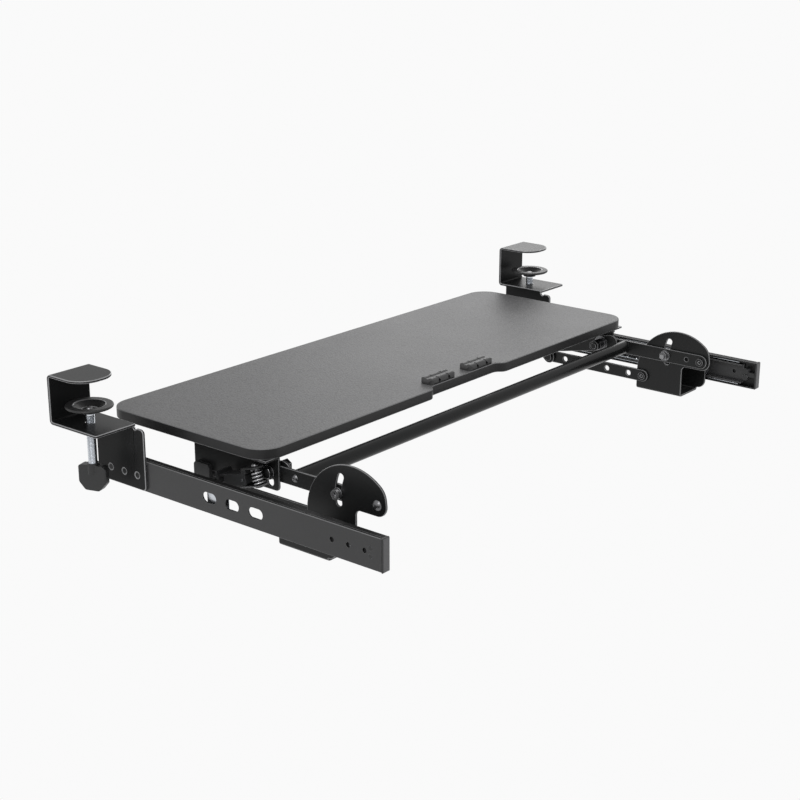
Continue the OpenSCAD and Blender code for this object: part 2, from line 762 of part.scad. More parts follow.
module clamp_bracket_right() {
    r_out = 5;
    color(steel_black) difference() {
        union() {
            // Jaw, spine and lower plate, bent from one strip
            intersection() {
                translate([clamp_x, 0, 0]) rotate([90, 0, 90]) linear_extrude(clamp_w) {
                    difference() {
                        round_rect([-clamp_t, plate_bot], [plate_l + 10, clamp_t], r_out);
                        round_rect([0, -throat_h], [plate_l + 30, 0], r_out - clamp_t);
                    }
                }
                union() {
                    translate([0, 0, -0.1]) linear_extrude(clamp_t + 0.2) {
                        round_rect([clamp_x, -20], [clamp_x + clamp_w, jaw_l], 24);
                        translate([clamp_x, -20]) square([clamp_w, 40]);
                    }
                    translate([0, 0, plate_bot - 1]) linear_extrude(throat_h + clamp_t + 1)
                        round_rect([clamp_x, -20], [clamp_x + clamp_w, plate_l], 2.5);
                }
            }
            // Hanging plate
            side_plate(clamp_x, clamp_t) difference() {
                union() {
                    round_rect([10, hang_z], [hang_y, plate_bot - 1.5], 5);
                    translate([10, -70]) square([plate_l - 12, 70 - throat_h - 1]);
                }
                translate([plate_l + 1, plate_bot - 1.5]) circle(2);
            }
        }
        translate([screw_x, screw_y, plate_bot - 1]) cylinder(h = clamp_t + 2,
            d = screw_d + 2 * run_gap);
        for (y = screw_holes_y) {
            rod_x(clamp_x - 1, clamp_x + clamp_t + 1, y, slide_z, 4);
            translate([clamp_x + clamp_t - 1.6, y, slide_z]) rotate([0, 90, 0])
                cylinder(h = 1.61, d1 = 4, d2 = 7);
        }
    }
}

// Swivel pad with a broad rim and a dished middle
module clamp_pad_right() {
    r = pad_d / 2;
    rim = 17.5;
    profile = concat([[3.3, -9.4], [9, -9.4], [9, -7.6], [rim + 0.5, -3.4], [r - 1.2, -3.2]],
        arc([r - 1.5, -1.5], 1.5, -60, 90), [[rim, 0], [rim - 1.2, -1.4], [8.5, -5.6], [3.3, -5.6]]);
    color(steel_black) translate([screw_x, screw_y, pad_top]) rotate_extrude() polygon(profile);
}

module clamp_screw_right() {
    color(zinc) translate([screw_x, screw_y, 0]) {
        translate([0, 0, -104]) cylinder(h = pad_top - 9.8 + 104, d = screw_d);
        translate([0, 0, pad_top - 9.8]) cylinder(h = 5, d = 6);
        translate([0, 0, pad_top - 5.2]) cylinder(h = 1.8, d1 = 9, d2 = 7);
    }
}

// Paddle with chamfered lower corners below a round boss
module clamp_knob_right() {
    half = knob_w / 2;
    right = concat(arc([half - 6, -8], 6, 90, 10), arc([half - 5, 12 - knob_h], 5, 0, -45),
                   arc([half - 11, 5 - knob_h], 5, -45, -90));
    left = [for (i = [len(right) - 1:-1:0]) [-right[i][0], right[i][1]]];
    color(plastic) translate([screw_x, screw_y, -96]) rotate([0, 0, knob_turn]) difference() {
        union() {
            intersection() {
                translate([-4.5, 0, 0]) rotate([90, 0, 90]) linear_extrude(9)
                    polygon(concat(right, left));
                translate([0, 0, -knob_h]) linear_extrude(knob_h)
                    round_rect([-4.5, -half], [4.5, half], 2.5);
            }
            translate([0, 0, -12]) cylinder(h = 12, d = 13.6);
        }
        translate([0, 0, -8]) cylinder(h = 10, d = screw_d);
    }
}

tray_board();
tray_bracket_right();
mirrored() tray_bracket_right();  // tray_bracket_left
bracket_screws();
pivot_cover_right();
mirrored() pivot_cover_right();  // pivot_cover_left
cable_clip_right();
mirrored() cable_clip_right();  // cable_clip_left
tilt_pins();
release_lever_right();
mirrored() release_lever_right();  // release_lever_left
lever_spring_right();
mirrored() lever_spring_right();  // lever_spring_left
spring_pins();
hanger_plate_right();
mirrored() hanger_plate_right();  // hanger_plate_left
hanger_rivets();
tilt_bolts();
tilt_nuts();
tilt_washers();
upper_arm_right();
mirrored() upper_arm_right();  // upper_arm_left
cross_tube();
tube_screws();
lock_bolts();
lock_nuts();
lower_arm_right();
mirrored() lower_arm_right();  // lower_arm_left
carriage_right();
mirrored() carriage_right();  // carriage_left
carriage_screws();
arm_pivot_rivets();
lower_pivot_rivets();
slide_inner_right();
mirrored() slide_inner_right();  // slide_inner_left
ball_cage_inner_right();
mirrored() ball_cage_inner_right();  // ball_cage_inner_left
balls_inner_right();
mirrored() balls_inner_right();  // balls_inner_left
slide_middle_right();
mirrored() slide_middle_right();  // slide_middle_left
ball_cage_outer_right();
mirrored() ball_cage_outer_right();  // ball_cage_outer_left
balls_outer_right();
mirrored() balls_outer_right();  // balls_outer_left
slide_outer_right();
mirrored() slide_outer_right();  // slide_outer_left
slide_end_cap_right();
mirrored() slide_end_cap_right();  // slide_end_cap_left
slide_screws();
clamp_bracket_right();
mirrored() clamp_bracket_right();  // clamp_bracket_left
clamp_pad_right();
mirrored() clamp_pad_right();  // clamp_pad_left
clamp_screw_right();
mirrored() clamp_screw_right();  // clamp_screw_left
clamp_knob_right();
mirrored() clamp_knob_right();  // clamp_knob_left
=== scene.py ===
import json
import math

import bpy
from mathutils import Matrix, Vector

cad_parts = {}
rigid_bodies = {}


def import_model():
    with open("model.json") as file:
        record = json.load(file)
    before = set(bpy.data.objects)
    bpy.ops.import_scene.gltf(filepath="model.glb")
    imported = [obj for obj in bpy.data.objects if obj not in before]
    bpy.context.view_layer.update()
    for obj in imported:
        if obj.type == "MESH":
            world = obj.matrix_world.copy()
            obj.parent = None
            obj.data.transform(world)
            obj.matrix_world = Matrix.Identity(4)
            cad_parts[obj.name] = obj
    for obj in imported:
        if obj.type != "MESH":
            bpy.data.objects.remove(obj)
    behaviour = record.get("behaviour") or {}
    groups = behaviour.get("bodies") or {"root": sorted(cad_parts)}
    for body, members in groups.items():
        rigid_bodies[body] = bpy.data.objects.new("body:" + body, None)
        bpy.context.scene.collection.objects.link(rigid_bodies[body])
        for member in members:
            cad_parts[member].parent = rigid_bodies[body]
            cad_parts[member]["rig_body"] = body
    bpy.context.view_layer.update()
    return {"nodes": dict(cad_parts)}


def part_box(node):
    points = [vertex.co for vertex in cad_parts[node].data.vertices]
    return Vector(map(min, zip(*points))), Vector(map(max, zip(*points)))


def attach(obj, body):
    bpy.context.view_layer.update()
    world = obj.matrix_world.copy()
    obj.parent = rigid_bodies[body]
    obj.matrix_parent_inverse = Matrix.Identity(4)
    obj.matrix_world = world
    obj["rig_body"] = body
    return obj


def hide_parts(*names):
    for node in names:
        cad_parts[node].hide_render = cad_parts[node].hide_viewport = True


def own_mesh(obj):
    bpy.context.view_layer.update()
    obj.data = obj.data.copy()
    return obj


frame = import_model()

bl_info = {
    "name": "Keyboard tray finishes",
    "version": (1, 0, 0),
    "blender": (4, 5, 0),
    "location": "View3D > Sidebar > Keyboard tray",
    "description": "Dresses the packed keyboard tray in its finishes and sets it on a plain stage",
    "category": "Object",
}

MM = 0.001
SIDES = ("right", "left")

# Facets of a CAD mesh are merged when they meet within this gap and this angle,
# and new round pieces have this many sides
MERGE_GAP = 0.002 * MM
FLAT_ANGLE = math.radians(0.6)
ROUND_SIDES = 48

# Ripples per metre in each kind of coat
POWDER_RIPPLES = 1500.0
SLIDE_RIPPLES = 900.0
BAND_RIPPLES = 2200.0
MOULDING_RIPPLES = 2600.0
SILICONE_RIPPLES = 1800.0


# Settings that a user would change

class TraySizes(bpy.types.PropertyGroup):
    edge_round: bpy.props.FloatProperty(
        name="Steel edge round", description="Round on the edges of bent steel parts",
        default=0.7 * MM, min=0.1 * MM, max=1 * MM, unit="LENGTH")
    rail_round: bpy.props.FloatProperty(
        name="Slide edge round", description="Round on the edges of the slide members",
        default=0.25 * MM, min=0.1 * MM, max=0.4 * MM, unit="LENGTH")
    board_round: bpy.props.FloatProperty(
        name="Board edge round", description="Round where the edge band meets the board's faces",
        default=0.9 * MM, min=0.2 * MM, max=2 * MM, unit="LENGTH")
    thread_pitch: bpy.props.FloatProperty(
        name="Thread pitch", description="Pitch of the clamp screws' thread",
        default=1.5 * MM, min=1 * MM, max=2 * MM, unit="LENGTH")
    pebble: bpy.props.FloatProperty(
        name="Board pebble", description="Size of one pebble in the board's laminate",
        default=1.9 * MM, min=0.3 * MM, max=3 * MM, unit="LENGTH")


class TrayColours(bpy.types.PropertyGroup):
    powder: bpy.props.FloatVectorProperty(
        name="Powder coat", description="Colour of the powder-coated steel",
        subtype="COLOR", default=(0.0075, 0.0078, 0.008), min=0, max=1)
    rail: bpy.props.FloatVectorProperty(
        name="Slide coat", description="Colour of the coated slide members",
        subtype="COLOR", default=(0.030, 0.030, 0.031), min=0, max=1)
    # Painted shade: a darker tone on the slides' flat tops and undersides
    race_shade: bpy.props.FloatVectorProperty(
        name="Slide races", description="Colour of the greased upper and lower sides of the slides",
        subtype="COLOR", default=(0.004, 0.004, 0.0042), min=0, max=1)
    # Painted sheen: a lighter tone that only the caps' rear faces take
    end_cap: bpy.props.FloatVectorProperty(
        name="End cap", description="Colour of the slides' end caps",
        subtype="COLOR", default=(0.075, 0.075, 0.078), min=0, max=1)
    laminate: bpy.props.FloatVectorProperty(
        name="Laminate", description="Colour of the board's top and underside",
        subtype="COLOR", default=(0.112, 0.112, 0.114), min=0, max=1)
    edge_band: bpy.props.FloatVectorProperty(
        name="Edge band", description="Colour of the band round the board's edge",
        subtype="COLOR", default=(0.011, 0.011, 0.0115), min=0, max=1)
    plastic: bpy.props.FloatVectorProperty(
        name="Black plastic", description="Colour of the moulded parts",
        subtype="COLOR", default=(0.014, 0.0145, 0.015), min=0, max=1)
    zinc: bpy.props.FloatVectorProperty(
        name="Bright zinc", description="Colour of the clamp screws and ball retainers",
        subtype="COLOR", default=(0.68, 0.71, 0.75), min=0, max=1)
    dark_zinc: bpy.props.FloatVectorProperty(
        name="Black zinc", description="Colour of the plated bolts, nuts and rivets",
        subtype="COLOR", default=(0.16, 0.16, 0.165), min=0, max=1)
    pad: bpy.props.FloatVectorProperty(
        name="Clamp pads", description="Colour of the pressed clamp pads",
        subtype="COLOR", default=(0.015, 0.015, 0.0155), min=0, max=1)
    silicone: bpy.props.FloatVectorProperty(
        name="Cable clips", description="Colour of the soft cable clips",
        subtype="COLOR", default=(0.008, 0.008, 0.0085), min=0, max=1)
    # Painted highlight: a lighter tone that the coats take on every rounded edge
    edge_highlight: bpy.props.FloatVectorProperty(
        name="Rubbed edges", description="Colour of the coats where they thin over an edge",
        subtype="COLOR", default=(0.13, 0.13, 0.134), min=0, max=1)
    spring: bpy.props.FloatVectorProperty(
        name="Spring wire", description="Colour of the release levers' coil springs",
        subtype="COLOR", default=(0.42, 0.42, 0.43), min=0, max=1)
    balls: bpy.props.FloatVectorProperty(
        name="Bearing balls", description="Colour of the polished balls in the slides",
        subtype="COLOR", default=(0.74, 0.75, 0.77), min=0, max=1)
    # Painted highlight on the rims of bolts, nuts and rivets; the lock bolts' plating is a darker tone
    # of it
    plating_and_rim_highlight: bpy.props.FloatVectorProperty(
        name="Bolt rims", description="Colour of the plating on the edges of bolts and nuts",
        subtype="COLOR", default=(0.42, 0.42, 0.43), min=0, max=1)
    floor: bpy.props.FloatVectorProperty(
        name="Floor", description="Colour of the plain floor",
        subtype="COLOR", default=(0.80, 0.80, 0.80), min=0, max=1)
    backdrop: bpy.props.FloatVectorProperty(
        name="Backdrop", description="Pale tone of floor and surround as the camera sees them",
        subtype="COLOR", default=(0.955, 0.955, 0.955), min=0, max=1)


class TrayStage(bpy.types.PropertyGroup):
    camera_place: bpy.props.FloatVectorProperty(
        name="Camera place", description="Where the camera stands, in the tray's frame",
        subtype="XYZ", unit="LENGTH", default=(1.40903, 1.29007, 0.48454))
    camera_turn: bpy.props.FloatVectorProperty(
        name="Camera turn", description="The camera's rotation",
        subtype="EULER", unit="ROTATION", default=(math.radians(72.05), 0, math.radians(129.59)))
    lens: bpy.props.FloatProperty(
        name="Lens", description="Focal length on a 36 mm sensor, in millimetres",
        default=69.8, unit="CAMERA")
    floor_drop: bpy.props.FloatProperty(
        name="Floor drop", description="How far the floor lies below the desk's top surface",
        default=1.5, min=0.2, max=2, unit="LENGTH")
    sheen_place: bpy.props.FloatVectorProperty(
        name="Sheen lamp place", description="Where the soft box stands that gives the board its sheen",
        subtype="XYZ", unit="LENGTH", default=(-2.5, -1.35, 0.85))
    sheen_size: bpy.props.FloatVectorProperty(
        name="Sheen lamp size", description="Width and height of that soft box",
        size=2, unit="LENGTH", default=(1.6, 0.9), min=0.1, max=4)
    sheen_power: bpy.props.FloatProperty(
        name="Sheen lamp power", description="Power of that soft box in watts",
        default=11, min=0, max=100, unit="POWER")
    sky: bpy.props.FloatProperty(
        name="Surround", description="Strength of the even white surround", default=0.6, min=0, max=2)


def sizes():
    """The sizes that are set in the scene."""
    return bpy.context.scene.tray_sizes


def colours():
    """The colours that are set in the scene."""
    return bpy.context.scene.tray_colours


# Small tools for modelling

def only(*pieces):
    """Selects these pieces alone, the first one active."""
    bpy.ops.object.select_all(action="DESELECT")
    for piece in pieces:
        piece.select_set(True)
    bpy.context.view_layer.objects.active = pieces[0]


def named(name):
    """Names the object that an operator has just added."""
    piece = bpy.context.view_layer.objects.active
    piece.name = name
    piece.data.name = name
    return piece


def modify(piece, kind, **values):
    """Adds a modifier with these values and applies it."""
    only(piece)
    modifier = piece.modifiers.new(kind.lower(), kind)
    for key, value in values.items():
        setattr(modifier, key, value)
    bpy.ops.object.modifier_apply(modifier=modifier.name)
    return piece


def edit(piece, *steps):
    """Runs these steps in edit mode with everything selected first."""
    only(piece)
    bpy.ops.object.mode_set(mode="EDIT")
    for step in steps:
        bpy.ops.mesh.select_all(action="SELECT")
        step()
    bpy.ops.object.mode_set(mode="OBJECT")
    return piece


def smooth(piece, degrees=32):
    """Shades the piece smooth, apart from edges sharper than this angle."""
    only(piece)
    bpy.ops.object.shade_smooth_by_angle(angle=math.radians(degrees))
    return piece


def settle(piece):
    """Puts the piece's place, turn and size into its mesh."""
    only(piece)
    bpy.ops.object.transform_apply(location=True, rotation=True, scale=True)
    return piece


def place(piece, matrix):
    """Moves the mesh itself by a matrix."""
    piece.data.transform(matrix)
    if matrix.determinant() < 0:
        piece.data.flip_normals()
    return piece


def mirrored_copy(piece, name):
    """A left-hand copy of a right-hand piece, with its own mesh."""
    twin = piece.copy()
    twin.data = piece.data.copy()
    twin.name = name
    bpy.context.scene.collection.objects.link(twin)
    return place(twin, Matrix.Scale(-1, 4, (1, 0, 0)))


def dressed(node, width, segments=2, angle=28, held=True):
    """A copy of a CAD node with its facets merged and its sharp edges rounded.

    Held rounds stay narrow where facets are small, and the others keep their width."""
    source = frame["nodes"][node]
    piece = bpy.data.objects.new(node + "_finished", source.data.copy())
    bpy.context.scene.collection.objects.link(piece)
    only(piece)
    if piece.data.has_custom_normals:
        bpy.ops.mesh.customdata_custom_splitnormals_clear()
    edit(piece,
         lambda: bpy.ops.mesh.remove_doubles(threshold=MERGE_GAP),
         lambda: bpy.ops.mesh.dissolve_limited(angle_limit=FLAT_ANGLE))
    if width:
        while len(piece.data.materials) < 2:
            piece.data.materials.append(None)
        modify(piece, "BEVEL", width=width, segments=segments, limit_method="ANGLE",
               angle_limit=math.radians(angle), miter_outer="MITER_ARC", material=1,
               use_clamp_overlap=held)
    smooth(piece)
    return modify(piece, "WEIGHTED_NORMAL", keep_sharp=True, weight=50)


def add_finishes(piece, *names):
    """Adds these materials to a piece, after those that it has."""
    for name in names:
        piece.data.materials.append(bpy.data.materials[name])


def wear(piece, node, finish, edge=None):
    """Gives a piece its node's body, a finish, and another for its rounded edges."""
    kept = [face.material_index for face in piece.data.polygons]
    piece.data.materials.clear()
    add_finishes(piece, finish)
    # The edge finish is lighter than the body: a painted highlight along the rounds
    if edge:
        add_finishes(piece, edge)
        piece.data.polygons.foreach_set("material_index", kept)
    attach(piece, frame["nodes"][node]["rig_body"])
    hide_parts(node)
    return piece


# Shader node groups that several materials share

def new_group(name, inputs, outputs):
    """An empty shader group with its sockets, and its two end nodes."""
    tree = bpy.data.node_groups.new(name, "ShaderNodeTree")
    for label, kind, value in inputs:
        socket = tree.interface.new_socket(label, in_out="INPUT", socket_type="NodeSocket" + kind)
        if value is not None:
            socket.default_value = value
    for label, kind in outputs:
        tree.interface.new_socket(label, in_out="OUTPUT", socket_type="NodeSocket" + kind)
    return tree, tree.nodes.new("NodeGroupInput"), tree.nodes.new("NodeGroupOutput")


def math_node(tree, operation, first, second=None, third=None):
    """A maths node fed by sockets or numbers."""
    node = tree.nodes.new("ShaderNodeMath")
    node.operation = operation
    for index, value in enumerate((first, second, third)):
        if isinstance(value, (int, float)):
            node.inputs[index].default_value = value
        elif value is not None:
            tree.links.new(value, node.inputs[index])
    return node.outputs[0]


def noise_node(tree, vector, scale, detail=2.0, roughness=0.5):
    """A noise texture whose scale is a number or a socket."""
    node = tree.nodes.new("ShaderNodeTexNoise")
    node.inputs["Detail"].default_value = detail
    node.inputs["Roughness"].default_value = roughness
    tree.links.new(vector, node.inputs["Vector"])
    if isinstance(scale, (int, float)):
        node.inputs["Scale"].default_value = scale
    else:
        tree.links.new(scale, node.inputs["Scale"])
    return node.outputs["Fac"]


def make_orange_peel():
    """Fine, even ripple of a sprayed or baked coat."""
    tree, given, out = new_group(
        "orange_peel",
        [("Vector", "Vector", None), ("Ripples per metre", "Float", 900.0),
         ("Grit", "Float", 0.35)],
        [("Height", "Float")])
    ripple = noise_node(tree, given.outputs["Vector"], given.outputs["Ripples per metre"], 2.0)
    grit_scale = math_node(tree, "MULTIPLY", given.outputs["Ripples per metre"], 3.7)
    grit = noise_node(tree, given.outputs["Vector"], grit_scale, 1.0)
    height = math_node(tree, "MULTIPLY_ADD", grit, given.outputs["Grit"], ripple)
    tree.links.new(height, out.inputs["Height"])


def make_pebbles():
    """Low rounded pebbles with narrow valleys, as on a laminated board, and a mask that rises towards
    the valleys for painted shade there.
    """
    tree, given, out = new_group(
        "pebbles",
        [("Vector", "Vector", None), ("Pebbles per metre", "Float", 1100.0)],
        [("Height", "Float"), ("Valley", "Float")])
    cells = tree.nodes.new("ShaderNodeTexVoronoi")
    cells.feature = "SMOOTH_F1"
    cells.inputs["Smoothness"].default_value = 0.6
    cells.inputs["Randomness"].default_value = 1.0
    tree.links.new(given.outputs["Vector"], cells.inputs["Vector"])
    tree.links.new(given.outputs["Pebbles per metre"], cells.inputs["Scale"])
    fine_scale = math_node(tree, "MULTIPLY", given.outputs["Pebbles per metre"], 2.3)
    fine = noise_node(tree, given.outputs["Vector"], fine_scale, 2.0)
    height = math_node(tree, "SUBTRACT", math_node(tree, "MULTIPLY", fine, 0.5),
                       cells.outputs["Distance"])
    tree.links.new(height, out.inputs["Height"])
    # A mask for painted shade, rising towards the valleys between the pebbles
    valley = math_node(tree, "MULTIPLY", cells.outputs["Distance"], 1.2)
    tree.links.new(valley, out.inputs["Valley"])


def make_drift():
    """Slow, faint change of tone across a surface, with a finer mottle on it."""
    tree, given, out = new_group(
        "drift",
        [("Vector", "Vector", None), ("Dark", "Color", None), ("Light", "Color", None),
         ("Patches per metre", "Float", 9.0)],
        [("Color", "Color"), ("Amount", "Float")])
    broad = noise_node(tree, given.outputs["Vector"], given.outputs["Patches per metre"], 3.0)
    fine_scale = math_node(tree, "MULTIPLY", given.outputs["Patches per metre"], 40.0)
    fine = noise_node(tree, given.outputs["Vector"], fine_scale, 2.0)
    amount = math_node(tree, "MULTIPLY_ADD", fine, 0.4, math_node(tree, "MULTIPLY", broad, 0.6))
    mix = tree.nodes.new("ShaderNodeMix")
    mix.data_type = "RGBA"
    tree.links.new(amount, mix.inputs["Factor"])
    tree.links.new(given.outputs["Dark"], mix.inputs["A"])
    tree.links.new(given.outputs["Light"], mix.inputs["B"])
    tree.links.new(mix.outputs["Result"], out.inputs["Color"])
    tree.links.new(amount, out.inputs["Amount"])


def make_draw_lines():
    """Fine lines along one direction, as on drawn or turned metal."""
    tree, given, out = new_group(
        "draw_lines",
        [("Vector", "Vector", None), ("Stretch", "Vector", (1.0, 1.0, 1.0)),
         ("Lines per metre", "Float", 2500.0)],
        [("Height", "Float")])
    scaled = tree.nodes.new("ShaderNodeVectorMath")
    scaled.operation = "MULTIPLY"
    tree.links.new(given.outputs["Vector"], scaled.inputs[0])
    tree.links.new(given.outputs["Stretch"], scaled.inputs[1])
    lines = noise_node(tree, scaled.outputs[0], given.outputs["Lines per metre"], 3.0, 0.6)
    tree.links.new(lines, out.inputs["Height"])


def place_group(tree, name, vector, **values):
    """Puts a shared group into a material with its own values."""
    node = tree.nodes.new("ShaderNodeGroup")
    node.node_tree = bpy.data.node_groups[name]
    tree.links.new(vector, node.inputs["Vector"])
    for label, value in values.items():
        node.inputs[label.replace("_", " ")].default_value = value
    return node


def new_material(name):
    """A material with a Principled shader, and its Object coordinates."""
    finish = bpy.data.materials.new(name)
    finish.use_nodes = True
    tree = finish.node_tree
    shader = tree.nodes["Principled BSDF"]
    coords = tree.nodes.new("ShaderNodeTexCoord")
    return finish, tree, shader, coords.outputs["Object"]


def bump(tree, shader, height, strength, depth):
    """Feeds a height in metres into the shader's normal."""
    node = tree.nodes.new("ShaderNodeBump")
    node.inputs["Strength"].default_value = strength
    node.inputs["Distance"].default_value = depth
    tree.links.new(height, node.inputs["Height"])
    tree.links.new(node.outputs["Normal"], shader.inputs["Normal"])


def rough_between(tree, shader, amount, low, high):
    """Lets the roughness drift between two values."""
    node = tree.nodes.new("ShaderNodeMapRange")
    node.inputs["To Min"].default_value = low
    node.inputs["To Max"].default_value = high
    tree.links.new(amount, node.inputs["Value"])
    tree.links.new(node.outputs["Result"], shader.inputs["Roughness"])


def shade(colour, factor):
    """A lighter or darker tone of a colour, with alpha."""
    return (colour[0] * factor, colour[1] * factor, colour[2] * factor, 1.0)


def coated_material(name, colour, ripples, depth, low, high, specular):
    """A baked, sprayed or moulded surface with a fine ripple."""
    _, tree, shader, vector = new_material(name)
    tone = place_group(tree, "drift", vector, Dark=shade(colour, 0.75),
                       Light=shade(colour, 1.25))
    tree.links.new(tone.outputs["Color"], shader.inputs["Base Color"])
    rough_between(tree, shader, tone.outputs["Amount"], low, high)
    peel = place_group(tree, "orange_peel", vector, Ripples_per_metre=ripples)
    bump(tree, shader, peel.outputs["Height"], 0.5, depth)
    shader.inputs["Specular IOR Level"].default_value = specular


def laminate_material():
    """The board's pebbled black laminate."""
    _, tree, shader, vector = new_material("board_laminate")
    base = colours().laminate
    tone = place_group(tree, "drift", vector, Dark=shade(base, 0.9), Light=shade(base, 1.1),
                       Patches_per_metre=14.0)
    pebbles = place_group(tree, "pebbles", vector, Pebbles_per_metre=1 / sizes().pebble)
    # Painted shade: the laminate is darkened in the valleys between the pebbles
    mix = tree.nodes.new("ShaderNodeMix")
    mix.data_type = "RGBA"
    mix.blend_type = "MULTIPLY"
    mix.inputs["B"].default_value = (0.45, 0.45, 0.45, 1)
    tree.links.new(pebbles.outputs["Valley"], mix.inputs["Factor"])
    tree.links.new(tone.outputs["Color"], mix.inputs["A"])
    tree.links.new(mix.outputs["Result"], shader.inputs["Base Color"])
    rough_between(tree, shader, tone.outputs["Amount"], 0.46, 0.56)
    bump(tree, shader, pebbles.outputs["Height"], 0.8, 0.22 * MM)


def metal_material(name, colour, low, high, stretch, lines, depth):
    """Bright plated or polished metal with fine lines."""
    _, tree, shader, vector = new_material(name)
    shader.inputs["Metallic"].default_value = 1.0
    tone = place_group(tree, "drift", vector, Dark=shade(colour, 0.82), Light=shade(colour, 1.0),
                       Patches_per_metre=90.0)
    tree.links.new(tone.outputs["Color"], shader.inputs["Base Color"])
    rough_between(tree, shader, tone.outputs["Amount"], low, high)
    marks = place_group(tree, "draw_lines", vector, Stretch=stretch, Lines_per_metre=lines)
    bump(tree, shader, marks.outputs["Height"], 0.25, depth)


def make_materials():
    """Makes the shader groups, and then every finish of the tray."""
    for maker in (make_orange_peel, make_pebbles, make_drift, make_draw_lines):
        maker()
    paint = colours()
    # A lighter tone still, for a stronger painted highlight on the clamps' rounded edges
    clamp_highlight = shade(paint.edge_highlight, 1.5)
    # Depth in millimetres, then the range of roughness, then the strength of reflections
    for name, colour, ripples, depth, low, high, specular in (
            ("powder_coat", paint.powder, POWDER_RIPPLES, 0.04, 0.30, 0.42, 0.27),
            ("clamp_coat", paint.powder, POWDER_RIPPLES, 0.04, 0.30, 0.42, 0.12),
            # The finishes for rounded edges are lighter than their bodies: painted highlights
            ("powder_edge", paint.edge_highlight, POWDER_RIPPLES, 0.02, 0.22, 0.30, 1.0),
            ("pad_coat", paint.pad, POWDER_RIPPLES, 0.03, 0.40, 0.50, 0.4),
            ("clamp_edge", clamp_highlight, POWDER_RIPPLES, 0.02, 0.22, 0.30, 1.0),
            ("tube_coat", paint.powder, POWDER_RIPPLES, 0.02, 0.20, 0.28, 0.16),
            ("slide_coat", paint.rail, SLIDE_RIPPLES, 0.012, 0.30, 0.40, 0.4),
            ("slide_edge", paint.edge_highlight, SLIDE_RIPPLES, 0.006, 0.20, 0.28, 0.9),
            ("edge_band", paint.edge_band, BAND_RIPPLES, 0.03, 0.38, 0.48, 0.32),
            ("band_highlight", paint.edge_highlight, BAND_RIPPLES, 0.03, 0.38, 0.48, 0.5),
            ("moulded_black", paint.plastic, MOULDING_RIPPLES, 0.03, 0.40, 0.52, 0.5),
            ("silicone_black", paint.silicone, SILICONE_RIPPLES, 0.02, 0.42, 0.52, 0.65),
            # Painted shade on the slides' flat tops and undersides
            ("slide_race_shade", paint.race_shade, SLIDE_RIPPLES, 0.012, 0.45, 0.55, 0.1),
            # Painted sheen on the end caps' rear faces
            ("cap_sheen_finish", paint.end_cap, MOULDING_RIPPLES, 0.02, 0.30, 0.40, 0.5),
            ("cap_edge", paint.edge_highlight, MOULDING_RIPPLES, 0.01, 0.22, 0.30, 0.8),
            ("moulded_edge", paint.edge_highlight, MOULDING_RIPPLES, 0.02, 0.34, 0.44, 0.5)):
        coated_material(name, colour, ripples, depth * MM, low, high, specular)
    laminate_material()
    # The lock bolts' plating, a darker tone of the colour that paints the rim highlights
    lock_bolt_plating = shade(paint.plating_and_rim_highlight, 0.8)
    along_x, along_y, along_z, all_ways = (0.2, 1, 1), (1, 0.1, 1), (1, 1, 0.2), (1, 1, 1)
    for name, colour, low, high, stretch, lines, depth in (
            ("zinc_thread", paint.zinc, 0.16, 0.30, along_z, 2500.0, 0.01),
            ("black_zinc", paint.dark_zinc, 0.26, 0.42, along_x, 2500.0, 0.01),
            ("bolt_plating", lock_bolt_plating, 0.30, 0.45, along_x, 2500.0, 0.01),
            ("spring_steel", paint.spring, 0.14, 0.24, all_ways, 1200.0, 0.004),
            # Painted highlight on the rims of the fasteners
            ("zinc_rim_highlight", paint.plating_and_rim_highlight, 0.20, 0.32, along_x, 2500.0, 0.01),
            ("polished_steel", paint.balls, 0.07, 0.14, all_ways, 1200.0, 0.004),
            ("retainer_steel", paint.zinc, 0.24, 0.38, along_y, 2500.0, 0.01)):
        metal_material(name, colour, low, high, stretch, lines, depth * MM)


# One operator for each group of pieces

class TrayOperator(bpy.types.Operator):
    """What this file's operators have in common"""
    bl_options = {"REGISTER", "UNDO"}


class KEYBOARDTRAY_OT_finishes(TrayOperator):
    """Makes the coats, the laminate, the plastics and the plated metals"""
    bl_idname = "keyboard_tray.finishes"
    bl_label = "Finishes"

    def execute(self, context):
        make_materials()
        return {"FINISHED"}


class KEYBOARDTRAY_OT_board(TrayOperator):
    """The tray board with its laminate faces and edge band"""
    bl_idname = "keyboard_tray.board"
    bl_label = "Tray board"

    def execute(self, context):
        board = dressed("tray_board", sizes().board_round, 3, 50)
        wear(board, "tray_board", "board_laminate")
        # The rounds where the band meets the faces take a lighter finish: a painted highlight
        add_finishes(board, "edge_band", "band_highlight")
        laminate, band, rim = range(3)
        flat, rounded = 0.9, 0.25
        for face in board.data.polygons:
            level = abs(face.normal.z)  # 1 on a face that lies flat, 0 on an upright one
            if level > flat:
                face.material_index = laminate
            elif level > rounded:
                face.material_index = rim
            else:
                face.material_index = band
        return {"FINISHED"}


class KEYBOARDTRAY_OT_steelwork(TrayOperator):
    """Bent and cut steel: clamps, carriages, arms, hangers and tray brackets"""
    bl_idname = "keyboard_tray.steelwork"
    bl_label = "Steelwork"

    def execute(self, context):
        width = sizes().edge_round
        # The edge finishes paint a highlight on the rounded edges
        for side in SIDES:
            for part in ("carriage", "upper_arm", "lower_arm", "hanger_plate", "tray_bracket"):
                node = f"{part}_{side}"
                wear(dressed(node, width, held=False), node, "powder_coat", "powder_edge")
            node = f"clamp_pad_{side}"
            wear(dressed(node, width, held=False), node, "pad_coat", "clamp_edge")
            node = f"clamp_bracket_{side}"
            wear(dressed(node, width * 1.3, 3, held=False), node, "clamp_coat", "clamp_edge")
        wear(dressed("cross_tube", width), "cross_tube", "tube_coat", "powder_edge")
        return {"FINISHED"}


